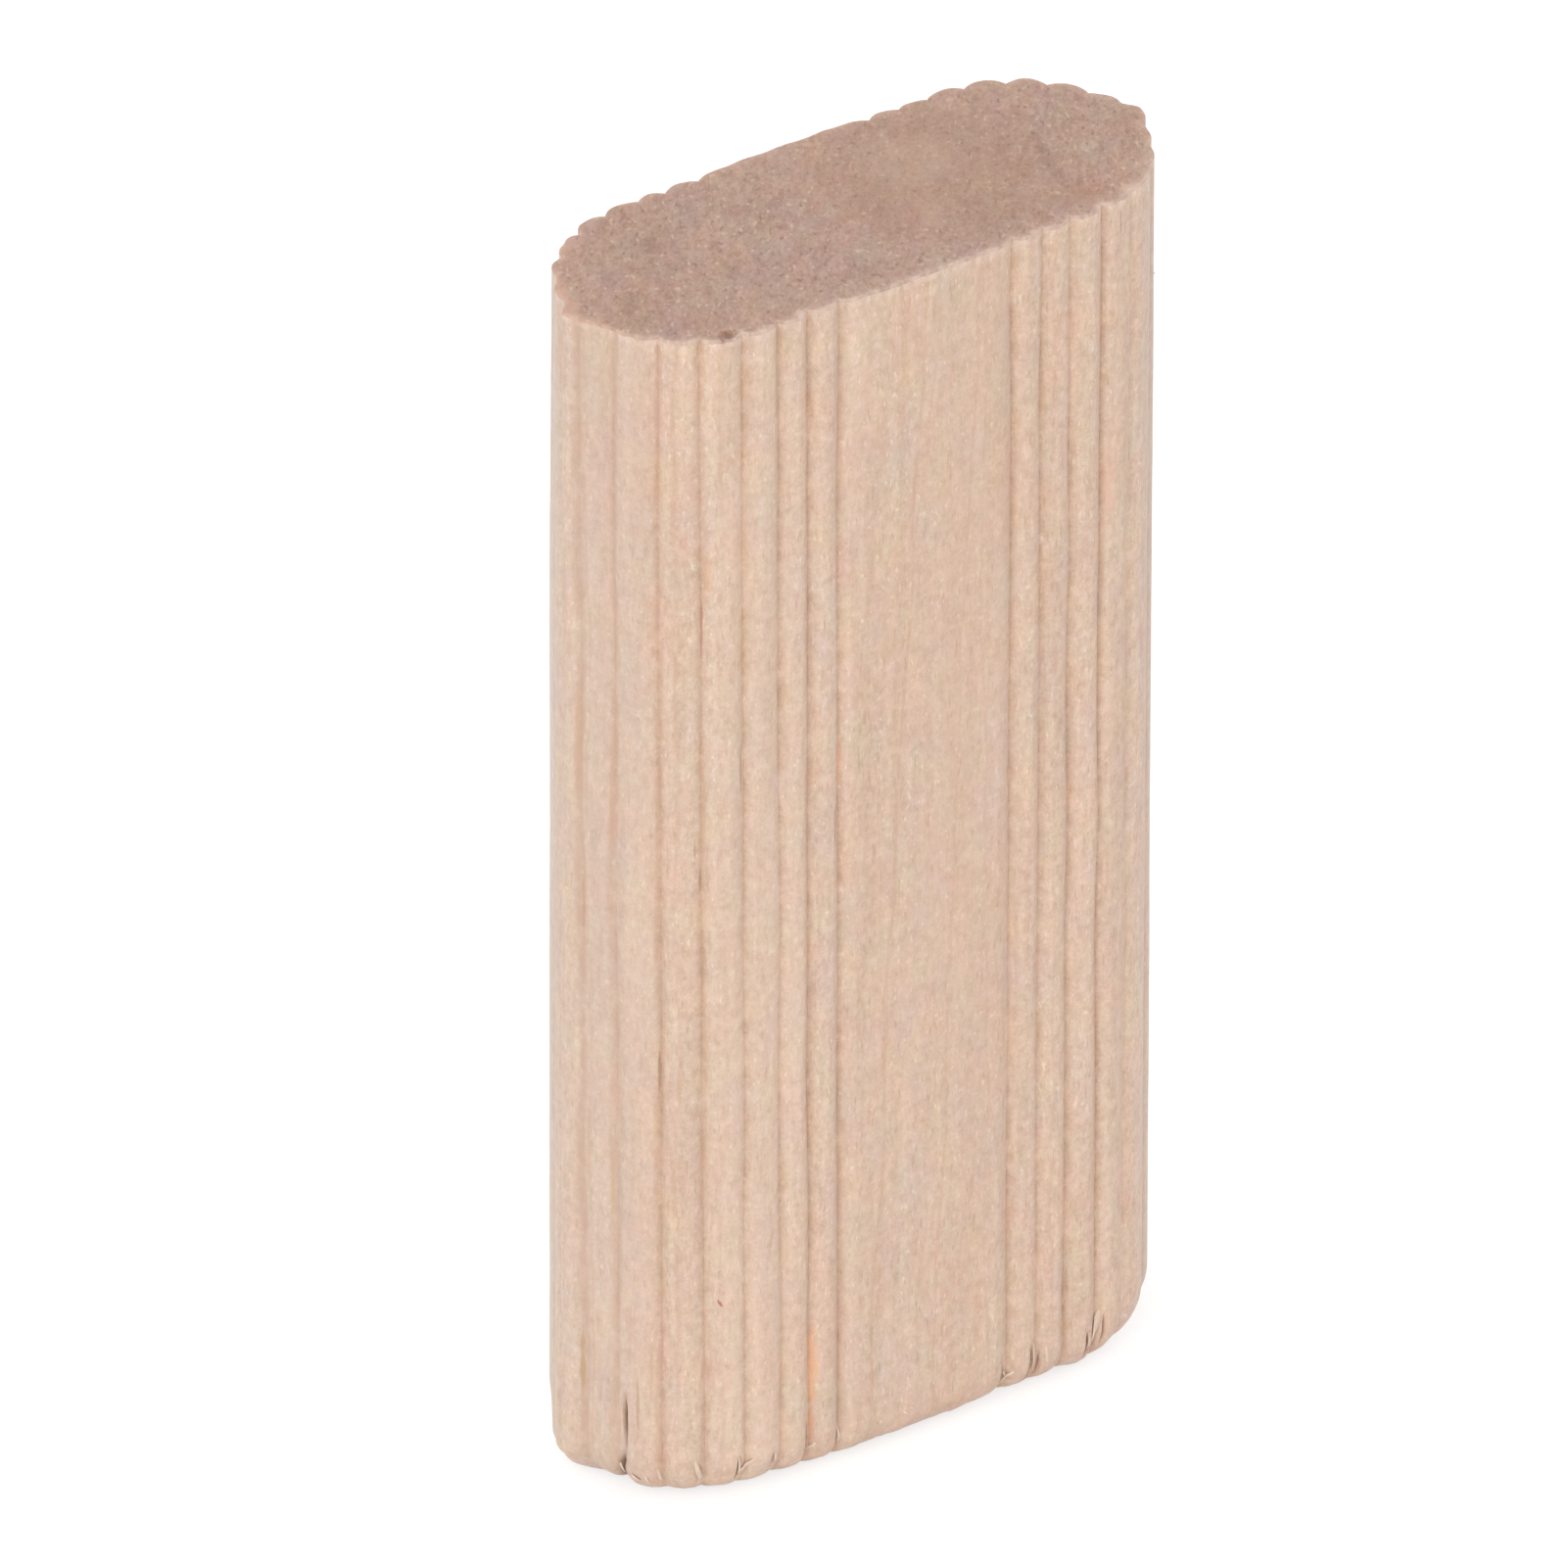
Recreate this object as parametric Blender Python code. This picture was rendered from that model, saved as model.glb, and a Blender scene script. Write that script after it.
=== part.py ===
"""Loose tenon: one beech tongue that joins two mortised boards.

Its section is a flat bar with two round ends. Reeds run the whole length, all
round the section but for a plain land in the middle of each broad face. The
upper end is sawn square and sharp. The lower end has a rounded rim, pressed so
that the grooves run down over it and die out at the flat foot.

The tenon stands on that foot: width along X, thickness along Y, length along Z.
"""

import math

import bmesh
import bpy
from mathutils import Vector

MM = 0.001

# Overall sizes
LENGTH = 50.0 * MM
WIDTH = 24.2 * MM
THICKNESS = 10.0 * MM

# Reeds and lands, measured along the outline of the section
LAND_WIDTH = 7.5 * MM
FACE_REED_PITCH = 1.35 * MM
END_REED_PITCH = 1.65 * MM
GROOVE_DEPTH = 0.33 * MM
GROOVE_FLANK = 0.85 * MM

# The front and the back are reeded by two separate cuts that meet at the tips
TIP_REED_SHARE = 0.33
BACK_CUT_SHIFT = 0.25 * MM
TIP_RIDGE = 0.4 * MM
FRONT_RIDGE_REACH = 1.45 * MM
BACK_RIDGE_REACH = 0.7 * MM

# Pressed rim of the lower end
RIM_RADIUS = 1.8 * MM

# Fineness of the mesh
FLANK_STEPS = 4
RIM_STEPS = 6

# Colours, as linear red, green and blue
LONG_GRAIN = (0.70, 0.51, 0.39)
END_GRAIN = (0.50, 0.33, 0.26)
WOOD_ROUGHNESS = 0.75

# Lengths that follow from the sizes above
END_RADIUS = THICKNESS / 2
CORE_HALF = WIDTH / 2 - END_RADIUS
END_ARC = math.pi * END_RADIUS
TIP = CORE_HALF + END_ARC / 2
PERIMETER = 4 * TIP


def clear_scene():
    """Remove every object of the scene that the file opened with."""
    for item in list(bpy.data.objects):
        bpy.data.objects.remove(item)


def new_collection(name):
    """A collection for the tenon, linked to the scene."""
    collection = bpy.data.collections.new(name)
    bpy.context.scene.collection.children.link(collection)
    return collection


def grooves_of_one_side():
    """Distances along the outline from the middle of a land to each groove.

    The face reeds keep their pitch and go on until they have left the flat
    face. The end reeds share out what is left, but for a part reed at the tip,
    which the cut of the other face completes.
    """
    face_reeds = max(1, math.ceil((CORE_HALF - LAND_WIDTH / 2) / FACE_REED_PITCH))
    places = [LAND_WIDTH / 2 + k * FACE_REED_PITCH for k in range(face_reeds + 1)]
    left = TIP - places[-1]
    end_reeds = max(1, round(left / END_REED_PITCH - TIP_REED_SHARE))
    pitch = left / (end_reeds + TIP_REED_SHARE)
    return places + [places[-1] + k * pitch for k in range(1, end_reeds + 1)]


def all_grooves():
    """Every groove round the section, by its distance from the front's middle."""
    side = grooves_of_one_side()
    back = PERIMETER / 2 - BACK_CUT_SHIFT
    grooves = list(side)
    grooves += [back - place for place in side]
    grooves += [back + place for place in side]
    grooves += [PERIMETER - place for place in side]
    return sorted(grooves)


def plain_outline(place):
    """Point and outward normal of the ungrooved section at a distance along it.

    The distance starts in the middle of the front face and runs towards +X.
    """
    place = place % PERIMETER
    half_turn = place >= PERIMETER / 4 and place < PERIMETER * 3 / 4
    along = PERIMETER / 2 - place if half_turn else place
    if place >= PERIMETER * 3 / 4:
        along = place - PERIMETER
    side = math.copysign(1.0, along)
    angle = max(abs(along) - CORE_HALF, 0.0) / END_RADIUS
    normal = Vector((side * math.sin(angle), math.cos(angle) * (1 if half_turn else -1)))
    core = Vector((side * min(abs(along), CORE_HALF), 0.0))
    return core + normal * END_RADIUS, normal


def distance_to_tip(place):
    """Distance along the outline to the nearer tip of the section."""
    return abs(place % (PERIMETER / 2) - PERIMETER / 4)


def groove_depth(place):
    """Depth of a groove at a place: full on the faces, nothing at the tips."""
    nearness = max(0.0, 1 - distance_to_tip(place) / (END_ARC / 2))
    return GROOVE_DEPTH * (1 - nearness ** 3)


def tip_ridge(place):
    """Height of the ridge at the tips, half a cosine wave down to either cut."""
    in_back_cut = PERIMETER / 4 < place % PERIMETER < PERIMETER * 3 / 4
    reach = BACK_RIDGE_REACH if in_back_cut else FRONT_RIDGE_REACH
    share = min(distance_to_tip(place) / reach, 1.0)
    return TIP_RIDGE * (1 + math.cos(math.pi * share)) / 2


def reed_points(start, end):
    """Outline from one groove up to the next: a reed, or a land with its flanks.

    Each flank rises from its groove as a parabola that is level at the crest.
    """
    flank = min(GROOVE_FLANK, (end - start) / 2)
    rises = [flank * k / FLANK_STEPS for k in range(FLANK_STEPS + 1)]
    places = [start + rise for rise in rises]
    places += [end - rise for rise in reversed(rises[1:])]
    if places[FLANK_STEPS + 1] - places[FLANK_STEPS] < flank / FLANK_STEPS / 10:
        del places[FLANK_STEPS + 1]
    points = []
    for place in places:
        point, normal = plain_outline(place)
        climb = min(place - start, end - place, flank) / flank
        drop = groove_depth(place) * (1 - climb) ** 2
        points.append(point + normal * (tip_ridge(place) - drop))
    return points


def section_points():
    """The whole reeded section, anticlockwise seen from above."""
    grooves = all_grooves()
    followers = grooves[1:] + [grooves[0] + PERIMETER]
    points = []
    for start, end in zip(grooves, followers):
        points += reed_points(start, end)
    return points


def straight_bar(collection):
    """The reeded bar from the top of the rim up to the sawn end, as a mesh object."""
    curve = bpy.data.curves.new("tenon_section", "CURVE")
    curve.dimensions = "2D"
    curve.fill_mode = "BOTH"
    curve.extrude = (LENGTH - RIM_RADIUS) / 2
    spline = curve.splines.new("POLY")
    points = section_points()
    spline.points.add(len(points) - 1)
    for slot, point in zip(spline.points, points):
        slot.co = (point.x, point.y, 0.0, 1.0)
    spline.use_cyclic_u = True

    drawn = bpy.data.objects.new("tenon_section", curve)
    collection.objects.link(drawn)
    drawn.location.z = (LENGTH + RIM_RADIUS) / 2
    bpy.context.view_layer.update()

    evaluated = drawn.evaluated_get(bpy.context.evaluated_depsgraph_get())
    mesh = bpy.data.meshes.new_from_object(evaluated)
    mesh.transform(drawn.matrix_world)
    bpy.data.objects.remove(drawn)

    tenon = bpy.data.objects.new("tenon", mesh)
    mesh.name = "tenon"
    collection.objects.link(tenon)
    return tenon


def pressed_in(section, inset, relief):
    """A point of the section moved in by inset, with its reeding eased to relief."""
    core = Vector((max(-CORE_HALF, min(CORE_HALF, section.x)), 0.0))
    spoke = Vector((section.x, section.y)) - core
    reeding = spoke.length - END_RADIUS
    return core + spoke.normalized() * (END_RADIUS - inset + reeding * relief)


def press_rim(tenon):
    """Carry the bar's lower face down in steps that round the rim in to the foot."""
    shape = bmesh.new()
    shape.from_mesh(tenon.data)
    bmesh.ops.remove_doubles(shape, verts=shape.verts, dist=0.001 * MM)
    section = shape.verts.layers.float_vector.new("section")
    for vert in shape.verts:
        vert[section] = vert.co
    shape.normal_update()
    lower = [face for face in shape.faces if face.normal.z < -0.5]
    for step in range(1, RIM_STEPS + 1):
        turn = step / RIM_STEPS * math.pi / 2
        inset = RIM_RADIUS * (1 - math.cos(turn))
        height = RIM_RADIUS * (1 - math.sin(turn))
        made = bmesh.ops.extrude_face_region(shape, geom=lower)["geom"]
        bmesh.ops.delete(shape, geom=lower, context="FACES")
        lower = [item for item in made if isinstance(item, bmesh.types.BMFace)]
        for vert in (item for item in made if isinstance(item, bmesh.types.BMVert)):
            place = pressed_in(vert[section], inset, 1 - step / RIM_STEPS)
            vert.co = (place.x, place.y, height)
    shape.verts.layers.float_vector.remove(section)
    bmesh.ops.recalc_face_normals(shape, faces=shape.faces)
    shape.to_mesh(tenon.data)
    shape.free()


def wood(name, colour):
    """A matt wood finish."""
    material = bpy.data.materials.new(name)
    material.use_nodes = True
    shader = material.node_tree.nodes["Principled BSDF"]
    shader.inputs["Base Color"].default_value = (*colour, 1.0)
    shader.inputs["Roughness"].default_value = WOOD_ROUGHNESS
    shader.inputs["Metallic"].default_value = 0.0
    material.diffuse_color = (*colour, 1.0)
    return material


def finish(tenon):
    """Long grain on the sides, end grain on the two cut ends, crisp arrises."""
    tenon.data.materials.append(wood("beech_long_grain", LONG_GRAIN))
    tenon.data.materials.append(wood("beech_end_grain", END_GRAIN))
    for face in tenon.data.polygons:
        face.material_index = int(abs(face.normal.z) > 0.99)
    tenon.data.shade_smooth()
    tenon.data.set_sharp_from_angle(angle=math.radians(30))


def main():
    """Model the tenon."""
    clear_scene()
    tenon = straight_bar(new_collection("loose_tenon"))
    press_rim(tenon)
    finish(tenon)


main()
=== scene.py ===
"""Loose tenon in beech: the reeded body with its torn fibres, on a pale studio floor."""

import math

import bpy
import numpy as np
from bpy.props import FloatProperty, FloatVectorProperty, PointerProperty
from mathutils import Matrix, Vector


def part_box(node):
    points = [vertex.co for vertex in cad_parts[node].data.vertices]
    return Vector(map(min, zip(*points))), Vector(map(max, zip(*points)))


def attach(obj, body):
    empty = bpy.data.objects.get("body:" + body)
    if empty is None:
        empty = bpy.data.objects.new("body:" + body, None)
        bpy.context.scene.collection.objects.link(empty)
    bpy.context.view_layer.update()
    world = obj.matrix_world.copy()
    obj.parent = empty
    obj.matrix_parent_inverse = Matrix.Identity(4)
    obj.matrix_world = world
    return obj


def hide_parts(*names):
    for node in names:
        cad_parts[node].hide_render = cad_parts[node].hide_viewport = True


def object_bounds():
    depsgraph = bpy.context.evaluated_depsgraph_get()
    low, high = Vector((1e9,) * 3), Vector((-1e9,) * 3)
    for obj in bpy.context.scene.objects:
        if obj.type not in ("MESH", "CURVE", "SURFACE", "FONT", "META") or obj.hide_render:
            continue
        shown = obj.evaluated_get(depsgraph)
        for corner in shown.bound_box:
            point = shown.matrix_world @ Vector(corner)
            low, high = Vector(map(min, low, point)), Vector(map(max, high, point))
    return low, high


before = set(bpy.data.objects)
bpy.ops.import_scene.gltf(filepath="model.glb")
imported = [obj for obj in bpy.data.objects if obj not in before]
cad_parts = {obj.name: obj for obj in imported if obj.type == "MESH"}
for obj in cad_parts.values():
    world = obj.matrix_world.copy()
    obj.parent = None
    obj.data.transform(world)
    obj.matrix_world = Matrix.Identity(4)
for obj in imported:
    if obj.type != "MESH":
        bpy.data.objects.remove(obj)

bl_info = {
    "name": "Loose Tenon",
    "version": (1, 0, 0),
    "blender": (4, 5, 0),
    "location": "View3D > Sidebar > Loose Tenon",
    "description": "A reeded beech loose tenon with round ends, and the stage it stands on",
    "category": "Object",
}

MM = 0.001
CAD_LOW, CAD_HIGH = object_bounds()
CAD_MIDDLE = (CAD_LOW + CAD_HIGH) / 2
NODE_LOW, NODE_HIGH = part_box("tenon")

# Sizes of the body that don't vary, in millimetres
TIP_RIDGE = 0.4
FRONT_RIDGE_REACH = 1.45
BACK_RIDGE_REACH = 0.7
BACK_CUT_SHIFT = 0.25
GROOVE_PITCH = 1.7
REED_FLANK = 0.8
FRONT_LINE_FLANK = 0.52
LOW_REED_REACH = 0.45
FADING_REACH = 12.0
STAIN_AND_SHADE_REACH = 0.17
EDGE_REACH = 0.20
RIM_WEAR = 0.02

# Share of a front groove's depth that lies in its narrow line
FRONT_LINE_SHARE = 0.36

# Half width, half length and depth of the open pore in the sawn end
PORE = (0.20, 0.24, 0.12)

# How far the two rows under the sawn end wander, and the arris's width by share
TOP_WANDER = (0.07, 0.05)
ARRIS_SPREAD = 0.45

# Turn of the saw's marks over the sawn end, in degrees
SAW_TURN = 34.0

# Radius of the pressed rim, tightest at the left tip: millimetres round the
# outline from the middle of the front, and the radius there
RIM_RADII = (
    (-29.9, 1.65), (-22.0, 1.85), (-19.0, 1.25), (-17.3, 0.80), (-16.4, 0.78), (-15.6, 1.22),
    (-14.9, 1.84), (-14.2, 2.10), (-13.7, 2.18), (-12.7, 2.26), (-12.2, 1.95), (-9.5, 2.20),
    (-7.0, 2.00), (-5.0, 1.80), (-3.5, 1.58), (1.6, 1.60), (2.3, 1.76), (3.8, 1.82),
    (4.8, 1.68), (6.5, 1.84), (7.5, 1.72), (9.0, 2.05), (11.6, 2.55), (16.0, 2.20),
    (22.0, 1.90), (29.9, 1.65),
)

# The press also bent the left tip in: place round the outline, reach to either
# side, height at which it begins and depth at the foot, all in millimetres
TIP_PRESS = (-18.40, 1.20, 2.60, 0.22)

# Every groove as the cutter left it: millimetres from the middle of its land,
# depth in millimetres, and how dark its bottom is, from 0 to 1: partly bruised
# wood and partly painted shade
RIGHT_FRONT_GROOVES = (
    (3.72, 0.30, 0.72), (4.97, 0.26, 0.65), (6.25, 0.30, 0.75), (7.65, 0.33, 0.85),
    (9.16, 0.18, 0.20), (11.10, 0.22, 0.40), (12.50, 0.17, 0.20), (13.80, 0.05, 0.10),
)
LEFT_FRONT_GROOVES = (
    (3.72, 0.32, 0.85), (5.05, 0.32, 0.78), (6.30, 0.28, 0.75), (7.85, 0.27, 0.76),
    (9.50, 0.26, 0.55), (11.10, 0.25, 0.50), (12.85, 0.17, 0.25), (14.28, 0.13, 0.30),
)
RIGHT_BACK_GROOVES = (
    (3.65, 0.29, 0.70), (4.97, 0.29, 0.60), (6.20, 0.27, 0.60), (7.80, 0.39, 0.80),
    (9.43, 0.37, 0.60), (11.02, 0.31, 0.50), (12.70, 0.21, 0.40), (14.10, 0.07, 0.20),
)
LEFT_BACK_GROOVES = (
    (3.75, 0.27, 0.70), (5.20, 0.27, 0.60), (6.35, 0.22, 0.50), (7.95, 0.33, 0.80),
    (9.60, 0.41, 0.70), (11.40, 0.30, 0.50), (13.15, 0.16, 0.40), (14.30, 0.07, 0.20),
)

# Reeds that stand below the rest, or above it where the drop is negative:
# millimetres round the outline, how far at the sawn end, and how far lower down
LOW_REEDS = (
    (8.60, 0.08, 0.06), (12.40, 0.05, 0.05), (15.50, -0.05, -0.05), (16.00, -0.14, -0.14),
    (19.50, -0.04, -0.04), (22.70, 0.04, 0.04), (24.00, 0.13, 0.13), (25.20, 0.05, 0.05),
    (27.80, -0.06, -0.06), (29.60, -0.05, -0.05), (31.20, -0.07, -0.07), (38.40, 0.09, 0.09),
    (40.10, 0.20, 0.20), (41.00, 0.14, 0.06), (42.30, 0.20, 0.05), (46.10, 0.08, 0.04),
    (47.80, 0.10, 0.02),
)

# The grooves lean a little: millimetres of drift from the top to the bottom
MEAN_LEAN = 0.12
LEAN_SWING = 0.25

# Slits torn in the lower rim: place round the outline, its drift per millimetre
# of height, lower and upper end, half width and depth, all in millimetres
SLITS = (
    (-13.31, 0.33, -0.60, 2.60, 0.100, 0.46),
    (-13.33, 0.33, -0.60, 1.50, 0.160, 0.44),
    (-12.41, 0.01, 1.60, 5.40, 0.055, 0.26),
    (-12.38, 0.01, 1.60, 9.60, 0.050, 0.11),
    (-12.02, -0.01, 1.00, 5.20, 0.040, 0.08),
    (-11.80, 0.00, 2.20, 9.00, 0.060, 0.07),
    (-9.60, 0.04, 0.90, 2.10, 0.050, 0.16),
    (-5.08, -0.01, 0.60, 3.20, 0.050, 0.16),
    (-8.02, 0.00, 1.00, 2.20, 0.060, 0.20),
    (-6.58, 0.00, 0.90, 1.90, 0.050, 0.16),
    (3.50, 0.00, 0.80, 2.60, 0.050, 0.16),
    (4.72, 0.02, 0.70, 2.55, 0.060, 0.26),
    (5.10, 0.00, 0.70, 2.20, 0.040, 0.18),
    (7.16, 0.00, 0.90, 2.20, 0.055, 0.22),
    (7.55, 0.05, 0.80, 2.40, 0.060, 0.24),
    (7.98, 0.02, 1.10, 2.65, 0.055, 0.24),
)

# Share of a slit's length over which its upper end tapers, millimetres over
# which its lower end does, and the depth from which it is fully dark with
# painted shade
SLIT_TAPER, SLIT_FOOT, SLIT_FULL_SHADE = 0.45, 0.3, 0.2

# Fibres lifted from the surface: place round the outline and height of both
# ends, half width and how far the middle stands off, all in millimetres
FIBRES = (
    (-9.74, 2.10, -9.46, 1.05, 0.105, 0.10),
    (-8.05, 1.30, -7.35, 1.80, 0.085, 0.12),
    (-8.06, 2.05, -7.98, 1.10, 0.065, 0.06),
    (-6.52, 1.70, -6.44, 1.20, 0.070, 0.07),
    (-5.90, 1.42, -5.66, 1.70, 0.060, 0.06),
    (-4.96, 1.15, -4.66, 1.52, 0.075, 0.08),
    (-3.70, 1.75, -3.60, 0.95, 0.090, 0.08),
    (-3.35, 1.15, -3.00, 1.30, 0.055, 0.05),
    (2.54, 3.75, 2.58, 3.20, 0.060, 0.03),
    (3.48, 1.05, 4.05, 1.42, 0.080, 0.11),
    (3.52, 1.55, 3.72, 1.15, 0.060, 0.07),
    (7.80, 2.70, 7.42, 1.30, 0.125, 0.12),
    (7.24, 1.90, 7.20, 1.20, 0.055, 0.06),
    (4.86, 2.35, 4.88, 1.10, 0.080, 0.07),
    (5.30, 2.20, 5.38, 1.20, 0.070, 0.08),
    (-12.20, 1.25, -11.80, 0.90, 0.080, 0.08),
    (-11.62, 1.25, -11.50, 0.80, 0.070, 0.07),
    (-11.12, 1.60, -11.05, 0.95, 0.065, 0.05),
    (-12.72, 1.50, -12.52, 1.05, 0.080, 0.07),
    (-0.98, 1.55, -0.72, 1.30, 0.075, 0.05),
    (-0.70, 1.62, -0.48, 1.48, 0.050, 0.04),
    (11.50, 45.22, 11.56, 45.06, 0.020, 0.12),
)

# A fibre's points along and round, its thickness by its width, the power that
# flattens its arch, and how deep its ends sink in
FIBRE_POINTS, FIBRE_SIDES = 15, 8
FIBRE_THICKNESS, FIBRE_ARCH, FIBRE_SINK = 0.45, 0.7, 0.02

# Growth lines on the front: place round the outline at the foot and at the
# sawn end, half width in millimetres, and strength from 0 to 1
GROWTH_LINES = (
    (-2.60, -0.20, 0.07, 0.52),
    (0.20, 2.15, 0.06, 0.40),
    (2.70, 2.30, 0.06, 0.34),
    (-14.05, -14.45, 0.14, 0.80),
    (-13.75, -14.15, 0.06, 0.42),
    (-12.80, -13.00, 0.13, 0.60),
    (-11.05, -11.25, 0.10, 0.36),
    (-10.35, -10.60, 0.08, 0.40),
    (-9.40, -9.65, 0.10, 0.34),
    (-8.70, -8.90, 0.06, 0.26),
    (-5.10, -5.30, 0.12, 0.30),
    (-3.80, -4.00, 0.10, 0.32),
    (5.60, 5.40, 0.07, 0.28),
    (7.50, 7.45, 0.16, 0.34),
    (8.90, 8.80, 0.14, 0.26),
)

# Marks on the front: place round the outline, height, half width and half
# length in millimetres, turn in degrees, strength, and colour
FRONT_MARKS = (
    # Painted reflection: the first three marks are broad grey bands on the left and right ends, a
    # painted whitish sheen where the surface turns away
    (-18.30, 25.00, 2.40, 60.00, 0, 0.34, (0.58, 0.56, 0.52)),
    (-13.40, 25.00, 1.90, 60.00, 0, 0.20, (0.52, 0.50, 0.48)),
    (12.30, 25.00, 2.00, 60.00, 0, 0.30, (0.60, 0.50, 0.45)),
    (-12.70, 28.00, 1.80, 60.00, 0, 0.15, (0.60, 0.36, 0.24)),
    (-7.20, 19.00, 2.10, 40.00, 0, 0.18, (0.86, 0.68, 0.55)),
    (2.00, 31.00, 2.20, 24.00, 0, 0.18, (0.58, 0.38, 0.28)),
    (-8.83, 8.85, 0.06, 0.17, 28, 0.85, (0.42, 0.15, 0.09)),
    (-9.57, 37.70, 0.05, 1.15, 0, 0.60, (0.50, 0.22, 0.15)),
    (-9.35, 40.00, 0.12, 0.80, 0, 0.40, (0.72, 0.42, 0.24)),
    (-4.86, 4.80, 0.21, 1.50, 0, 0.66, (0.84, 0.48, 0.28)),
    (-11.88, 4.40, 0.05, 1.50, 0, 0.60, (0.50, 0.33, 0.20)),
    (-11.36, 6.20, 0.05, 1.50, 0, 0.50, (0.60, 0.40, 0.22)),
    (-4.90, 2.40, 0.12, 0.80, 0, 0.55, (0.78, 0.40, 0.22)),
    (-14.40, 32.50, 0.12, 2.40, 0, 0.35, (0.62, 0.36, 0.24)),
    (-14.20, 25.50, 0.08, 1.80, 0, 0.45, (0.50, 0.30, 0.19)),
    (-13.00, 30.50, 0.12, 3.00, 0, 0.36, (0.58, 0.35, 0.23)),
    (-14.20, 5.40, 0.07, 1.60, 0, 0.65, (0.50, 0.32, 0.16)),
    # Painted shade: a near black mark deepens the crack at the foot, where the floor's bounce light
    # reaches into it
    (-12.86, 0.78, 0.09, 0.55, -18, 0.75, (0.24, 0.12, 0.10)),
    (8.00, 37.60, 0.30, 1.20, 0, 0.40, (0.78, 0.44, 0.33)),
    (3.58, 40.20, 0.11, 1.00, 0, 0.50, (0.76, 0.40, 0.26)),
    (-3.76, 30.50, 0.12, 1.10, 0, 0.45, (0.80, 0.45, 0.30)),
    (-3.98, 27.60, 0.06, 0.90, 0, 0.60, (0.42, 0.20, 0.13)),
    (-11.10, 18.60, 0.06, 0.80, 0, 0.60, (0.36, 0.20, 0.12)),
    (-9.60, 27.00, 0.05, 0.60, 0, 0.60, (0.36, 0.20, 0.12)),
    (-9.80, 28.20, 0.04, 0.50, 0, 0.45, (0.45, 0.23, 0.14)),
    (-8.05, 31.60, 0.06, 0.90, 0, 0.50, (0.40, 0.22, 0.13)),
    (8.48, 49.00, 0.05, 0.50, 0, 0.65, (0.34, 0.21, 0.13)),
    (-12.95, 13.20, 0.07, 1.20, 0, 0.45, (0.60, 0.38, 0.17)),
    (-1.80, 34.60, 0.35, 0.50, 0, 0.25, (0.66, 0.44, 0.24)),
)

# Marks on the sawn end: across, along the thickness, half width and half
# length in millimetres, turn in degrees, strength, and colour
SAWN_MARKS = (
    (-8.44, -4.52, 0.31, 0.35, -40, 0.92, (0.24, 0.11, 0.07)),
    (-8.60, -4.30, 0.12, 0.16, -20, 0.50, (0.46, 0.23, 0.16)),
    (3.80, 0.40, 4.60, 4.20, 0, 0.32, (0.40, 0.22, 0.145)),
    (-10.20, -0.80, 0.38, 0.75, -35, 0.26, (0.25, 0.15, 0.11)),
    (-11.00, -1.60, 0.35, 0.60, -35, 0.18, (0.27, 0.16, 0.12)),
    (7.60, -1.40, 0.26, 1.60, -12, 0.30, (0.26, 0.15, 0.11)),
    (8.20, 0.20, 0.22, 0.70, -20, 0.22, (0.26, 0.15, 0.11)),
    (-7.35, 2.10, 0.24, 0.60, -35, 0.28, (0.27, 0.16, 0.12)),
    (0.60, -2.05, 0.13, 0.26, -30, 0.32, (0.27, 0.14, 0.10)),
    (4.70, -3.40, 0.10, 0.35, -30, 0.32, (0.26, 0.15, 0.11)),
    (7.60, 3.40, 0.14, 0.90, -40, 0.30, (0.27, 0.15, 0.10)),
    (7.30, -3.70, 1.10, 0.75, 0, 0.32, (0.42, 0.23, 0.15)),
    (3.60, 1.60, 1.70, 1.50, -20, 0.24, (0.56, 0.41, 0.30)),
    (-1.00, -2.70, 0.55, 0.45, -30, 0.22, (0.58, 0.42, 0.33)),
    (2.20, -2.10, 0.50, 0.60, -30, 0.24, (0.58, 0.43, 0.34)),
    (-5.60, -2.20, 0.80, 1.10, -30, 0.20, (0.48, 0.34, 0.29)),
    (1.70, -1.50, 0.40, 0.25, 0, 0.25, (0.56, 0.31, 0.25)),
    (-11.90, 1.20, 0.35, 1.80, -15, 0.45, (0.66, 0.38, 0.29)),
    (-9.60, 3.80, 0.60, 0.35, 10, 0.30, (0.60, 0.37, 0.31)),
    (8.60, 4.20, 0.55, 0.30, 25, 0.30, (0.54, 0.32, 0.20)),
    (-5.50, -4.80, 0.16, 0.34, -20, 0.75, (0.70, 0.51, 0.41)),
    (-4.40, -4.95, 0.50, 0.18, 0, 0.55, (0.70, 0.51, 0.41)),
    (-7.00, -4.95, 0.30, 0.20, 0, 0.55, (0.70, 0.51, 0.41)),
    (4.60, -4.90, 0.18, 0.20, 0, 0.55, (0.70, 0.51, 0.41)),
    (7.65, -4.80, 0.32, 0.24, 0, 0.60, (0.68, 0.48, 0.38)),
    (9.15, -4.35, 0.40, 0.28, 25, 0.60, (0.66, 0.46, 0.36)),
)

# Colours of the long grain's flecks, dark ticks and worn arris, and of the end
# grain's pits, glints and rim
FLECK, TICK, WORN = (0.91, 0.76, 0.62), (0.48, 0.29, 0.19), (0.82, 0.65, 0.56)
PIT, GLINT = (0.24, 0.13, 0.09), (0.70, 0.52, 0.42)
FRONT_RIM, BACK_RIM = (0.77, 0.60, 0.50), (0.70, 0.48, 0.37)

# Fineness of the mesh: columns to a reed and to a land, how much they crowd at
# the grooves, and rows of the rim
REED_COLUMNS, LAND_COLUMNS = 16, 38
CROWDING = 0.65
RIM_ROWS = 21

# Rows above the rim, in millimetres: the close ones, the wide ones, and the last
# ones by how far they lie below the sawn end
LOW_STEP, LOW_TOP = 0.16, 7.0
HIGH_STEP, HIGH_STOP = 0.5, 1.5
TOP_ROWS = (1.4, 1.0, 0.75, 0.58, 0.45, 0.30, 0.12)

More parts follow.
